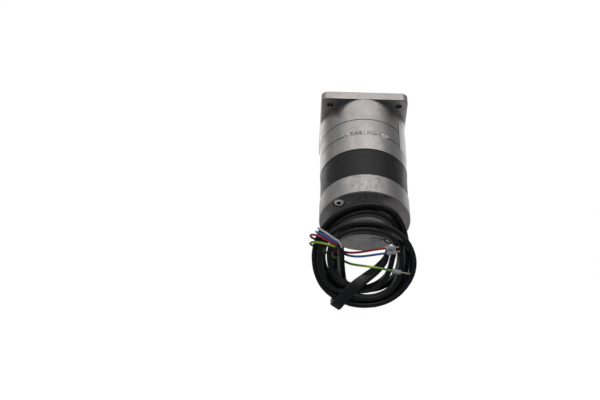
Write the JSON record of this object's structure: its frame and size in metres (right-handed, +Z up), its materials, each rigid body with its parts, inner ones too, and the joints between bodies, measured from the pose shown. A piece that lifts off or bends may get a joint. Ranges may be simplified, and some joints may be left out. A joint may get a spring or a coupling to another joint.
{
  "type": "planetary gearmotor",
  "caption": "Round AC gearmotor with a square mounting flange, a short D-cut output shaft, a two-stage planetary gearbox and a coiled flat supply cable.",
  "frame": {"origin": "centre of the four flange holes, on the flange's mounting face", "axes": "+Y along the output shaft and out of it, +X across, +Z up when the motor lies on its side"},
  "size_m": [0.0865, 0.216, 0.0762],
  "materials": {
    "die_cast": "raw die-cast skin, mottled grey, satin",
    "black_laminations": "black varnished sheet stack, semi-matt",
    "rotor_laminations": "ground bare laminations",
    "gear_steel": "hobbed and ground steel, oiled",
    "shaft_steel": "ground steel",
    "bearing_steel": "polished bearing steel",
    "cage_plastic": "natural polyamide",
    "bush_bronze": "sintered bronze, oiled",
    "copper_winding": "enamelled copper wire, bound",
    "cage_aluminium": "die-cast squirrel cage",
    "zinc_screw": "bright zinc plate",
    "spring_steel": "phosphated spring steel",
    "seal_rubber": "black nitrile rubber",
    "cable_pvc": "black PVC jacket, slightly glossy",
    "wire_white": "light grey PVC insulation",
    "wire_blue": "blue PVC insulation",
    "wire_red": "red PVC insulation",
    "wire_earth": "green PVC insulation with a yellow stripe",
    "sleeve_grey": "grey crimp sleeve",
    "tinned_copper": "tinned copper strands",
    "label_film": "blank satin film label"
  },
  "bodies": {
    "housing": {"output_housing": "die_cast", "ring_gear": "die_cast", "motor_front_shield": "die_cast", "rear_end_shield": "die_cast", "stator_stack": "black_laminations", "main_winding": "copper_winding", "auxiliary_winding": "copper_winding", "output_bearing_outer_rings": "bearing_steel", "rotor_bearing_outer_rings": "bearing_steel", "shaft_seal": "seal_rubber", "preload_spring": "spring_steel", "outer_bearing_spacer": "shaft_steel", "housing_circlip": "spring_steel", "motor_screws": "zinc_screw", "gearbox_screws": "zinc_screw", "cable_grommet": "seal_rubber", "flat_cable": "cable_pvc", "white_wire": "wire_white", "blue_wire": "wire_blue", "red_wire": "wire_red", "earth_wire": "wire_earth", "wire_sleeves": "sleeve_grey", "wire_tips": "tinned_copper", "rating_label": "label_film"},
    "rotor": {"rotor_shaft": "shaft_steel", "rotor_core": "rotor_laminations", "rotor_cage": "cage_aluminium", "rotor_bearing_inner_rings": "bearing_steel", "fast_sun_gear": "gear_steel"},
    "rotor_ball_sets": {"rotor_bearing_balls": "bearing_steel", "rotor_bearing_cages": "cage_plastic"},
    "fast_carrier": {"fast_carrier": "gear_steel", "fast_planet_pins": "shaft_steel", "slow_sun_gear": "gear_steel"},
    "output": {"output_shaft": "shaft_steel", "slow_planet_pins": "shaft_steel", "output_bearing_inner_rings": "bearing_steel", "shaft_bearing_spacer": "shaft_steel", "shaft_circlip": "spring_steel"},
    "output_ball_sets": {"output_bearing_balls": "bearing_steel", "output_bearing_cages": "cage_plastic"},
    "fast_planet_a": {"fast_planet_a": "gear_steel", "fast_planet_bush_a": "bush_bronze"},
    "fast_planet_b": {"fast_planet_b": "gear_steel", "fast_planet_bush_b": "bush_bronze"},
    "fast_planet_c": {"fast_planet_c": "gear_steel", "fast_planet_bush_c": "bush_bronze"},
    "slow_planet_a": {"slow_planet_a": "gear_steel", "slow_planet_bush_a": "bush_bronze"},
    "slow_planet_b": {"slow_planet_b": "gear_steel", "slow_planet_bush_b": "bush_bronze"},
    "slow_planet_c": {"slow_planet_c": "gear_steel", "slow_planet_bush_c": "bush_bronze"}
  },
  "joints": [
    {"name": "rotor_spin", "type": "hinge", "parent": "housing", "child": "rotor", "pos_m": [0, -0.085, 0], "axis": [0, 1, 0], "continuous": true},
    {"name": "rotor_balls_roll", "type": "hinge", "parent": "housing", "child": "rotor_ball_sets", "pos_m": [0, -0.085, 0], "axis": [0, 1, 0], "continuous": true},
    {"name": "fast_carrier_spin", "type": "hinge", "parent": "housing", "child": "fast_carrier", "pos_m": [0, -0.045, 0], "axis": [0, 1, 0], "continuous": true},
    {"name": "output_spin", "type": "hinge", "parent": "housing", "child": "output", "pos_m": [0, -0.015, 0], "axis": [0, 1, 0], "continuous": true},
    {"name": "output_balls_roll", "type": "hinge", "parent": "housing", "child": "output_ball_sets", "pos_m": [0, -0.015, 0], "axis": [0, 1, 0], "continuous": true},
    {"name": "fast_planet_a_spin", "type": "hinge", "parent": "fast_carrier", "child": "fast_planet_a", "pos_m": [0.018, -0.0494, 0], "axis": [0, 1, 0], "continuous": true},
    {"name": "fast_planet_b_spin", "type": "hinge", "parent": "fast_carrier", "child": "fast_planet_b", "pos_m": [-0.009, -0.0494, 0.01559], "axis": [0, 1, 0], "continuous": true},
    {"name": "fast_planet_c_spin", "type": "hinge", "parent": "fast_carrier", "child": "fast_planet_c", "pos_m": [-0.009, -0.0494, -0.01559], "axis": [0, 1, 0], "continuous": true},
    {"name": "slow_planet_a_spin", "type": "hinge", "parent": "output", "child": "slow_planet_a", "pos_m": [0.018, -0.0373, 0], "axis": [0, 1, 0], "continuous": true},
    {"name": "slow_planet_b_spin", "type": "hinge", "parent": "output", "child": "slow_planet_b", "pos_m": [-0.009, -0.0373, 0.01559], "axis": [0, 1, 0], "continuous": true},
    {"name": "slow_planet_c_spin", "type": "hinge", "parent": "output", "child": "slow_planet_c", "pos_m": [-0.009, -0.0373, -0.01559], "axis": [0, 1, 0], "continuous": true}
  ],
  "couplings": [
    {"joint": "rotor_balls_roll", "follows": "rotor_spin", "ratio": 0.36778},
    {"joint": "fast_carrier_spin", "follows": "rotor_spin", "ratio": 0.20833},
    {"joint": "output_spin", "follows": "rotor_spin", "ratio": 0.043403},
    {"joint": "output_balls_roll", "follows": "rotor_spin", "ratio": 0.017306},
    {"joint": "fast_planet_a_spin", "follows": "rotor_spin", "ratio": -0.56548},
    {"joint": "fast_planet_b_spin", "follows": "rotor_spin", "ratio": -0.56548},
    {"joint": "fast_planet_c_spin", "follows": "rotor_spin", "ratio": -0.56548},
    {"joint": "slow_planet_a_spin", "follows": "rotor_spin", "ratio": -0.11781},
    {"joint": "slow_planet_b_spin", "follows": "rotor_spin", "ratio": -0.11781},
    {"joint": "slow_planet_c_spin", "follows": "rotor_spin", "ratio": -0.11781}
  ]
}
